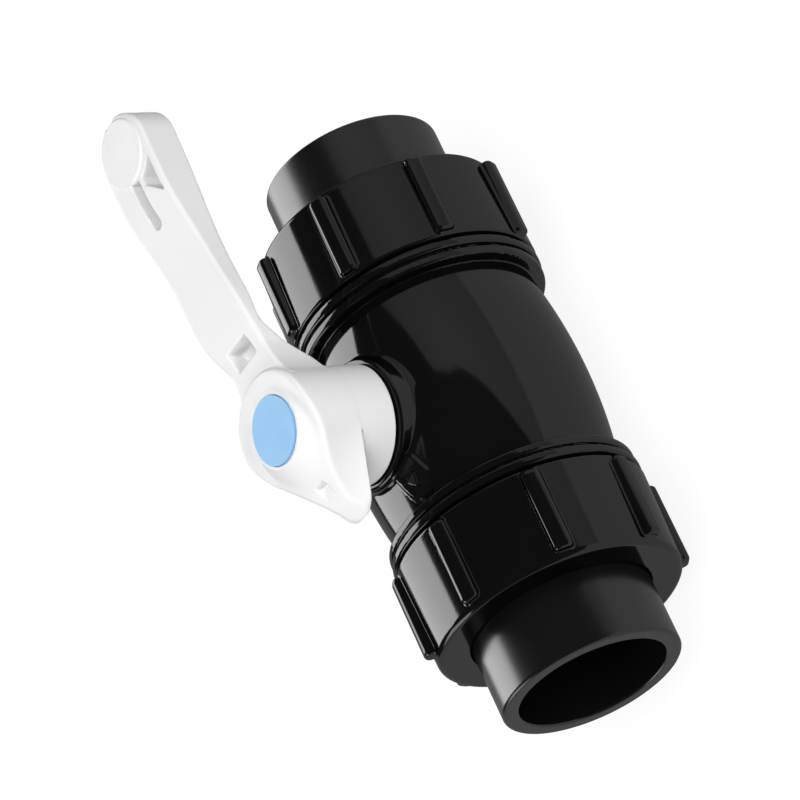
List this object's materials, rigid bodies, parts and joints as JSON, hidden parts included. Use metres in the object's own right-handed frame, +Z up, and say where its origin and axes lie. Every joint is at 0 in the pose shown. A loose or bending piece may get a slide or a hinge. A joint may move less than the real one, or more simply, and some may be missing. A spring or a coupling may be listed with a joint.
{
  "type": "ball valve",
  "caption": "Quarter-turn plastic ball valve with a lever handle and a threaded union with a plain pipe socket at each end.",
  "frame": {"origin": "centre of the ball, where the pipe axis and the stem axis cross", "axes": "+X along the pipe towards end a, +Z up the stem towards the handle; the lever lies along -X with the valve open"},
  "size_m": [0.2235, 0.0894, 0.1328],
  "materials": {
    "body_black": "black moulded polyethylene, glossy",
    "nut_black": "black moulded polyethylene, glossy",
    "tail_black": "black moulded polyethylene, satin",
    "handle_white": "white moulded plastic, semi-gloss",
    "cap_blue": "pale blue moulded plastic",
    "ball_plastic": "light grey polypropylene, polished",
    "seat_plastic": "white PTFE",
    "inner_plastic": "dark grey moulded plastic",
    "o_ring": "black EPDM rubber",
    "steel": "stainless steel"
  },
  "bodies": {
    "body": {"valve_body": "body_black", "seat_carrier": "inner_plastic", "carrier_o_ring": "o_ring", "ball_seat_a": "seat_plastic", "ball_seat_b": "seat_plastic", "seat_o_ring_a": "o_ring", "seat_o_ring_b": "o_ring", "thrust_washer": "seat_plastic"},
    "handle": {"handle": "handle_white", "handle_washer": "steel", "handle_screw": "steel", "handle_cap": "cap_blue", "stem": "inner_plastic", "stem_o_ring_lower": "o_ring", "stem_o_ring_upper": "o_ring", "ball": "ball_plastic"},
    "end_a": {"end_connector_a": "tail_black", "union_o_ring_a": "o_ring"},
    "nut_a": {"union_nut_a": "nut_black"},
    "end_b": {"end_connector_b": "tail_black", "union_o_ring_b": "o_ring"},
    "nut_b": {"union_nut_b": "nut_black"}
  },
  "joints": [
    {"name": "handle_turn", "type": "hinge", "parent": "body", "child": "handle", "pos_m": [0, 0, 0], "axis": [0, 0, -1], "range_deg": [0, 90]},
    {"name": "union_slide_a", "type": "slide", "parent": "body", "child": "end_a", "axis": [1, 0, 0], "range_m": [0, 0.0181]},
    {"name": "union_spin_a", "type": "hinge", "parent": "end_a", "child": "nut_a", "pos_m": [0.06, 0, 0], "axis": [1, 0, 0], "range_deg": [0, 1620]},
    {"name": "union_slide_b", "type": "slide", "parent": "body", "child": "end_b", "axis": [-1, 0, 0], "range_m": [0, 0.0181]},
    {"name": "union_spin_b", "type": "hinge", "parent": "end_b", "child": "nut_b", "pos_m": [-0.06, 0, 0], "axis": [-1, 0, 0], "range_deg": [0, 1620]}
  ],
  "couplings": [
    {"joint": "union_slide_a", "follows": "union_spin_a", "m_per_rad": 0.00063662},
    {"joint": "union_slide_b", "follows": "union_spin_b", "m_per_rad": 0.00063662}
  ]
}
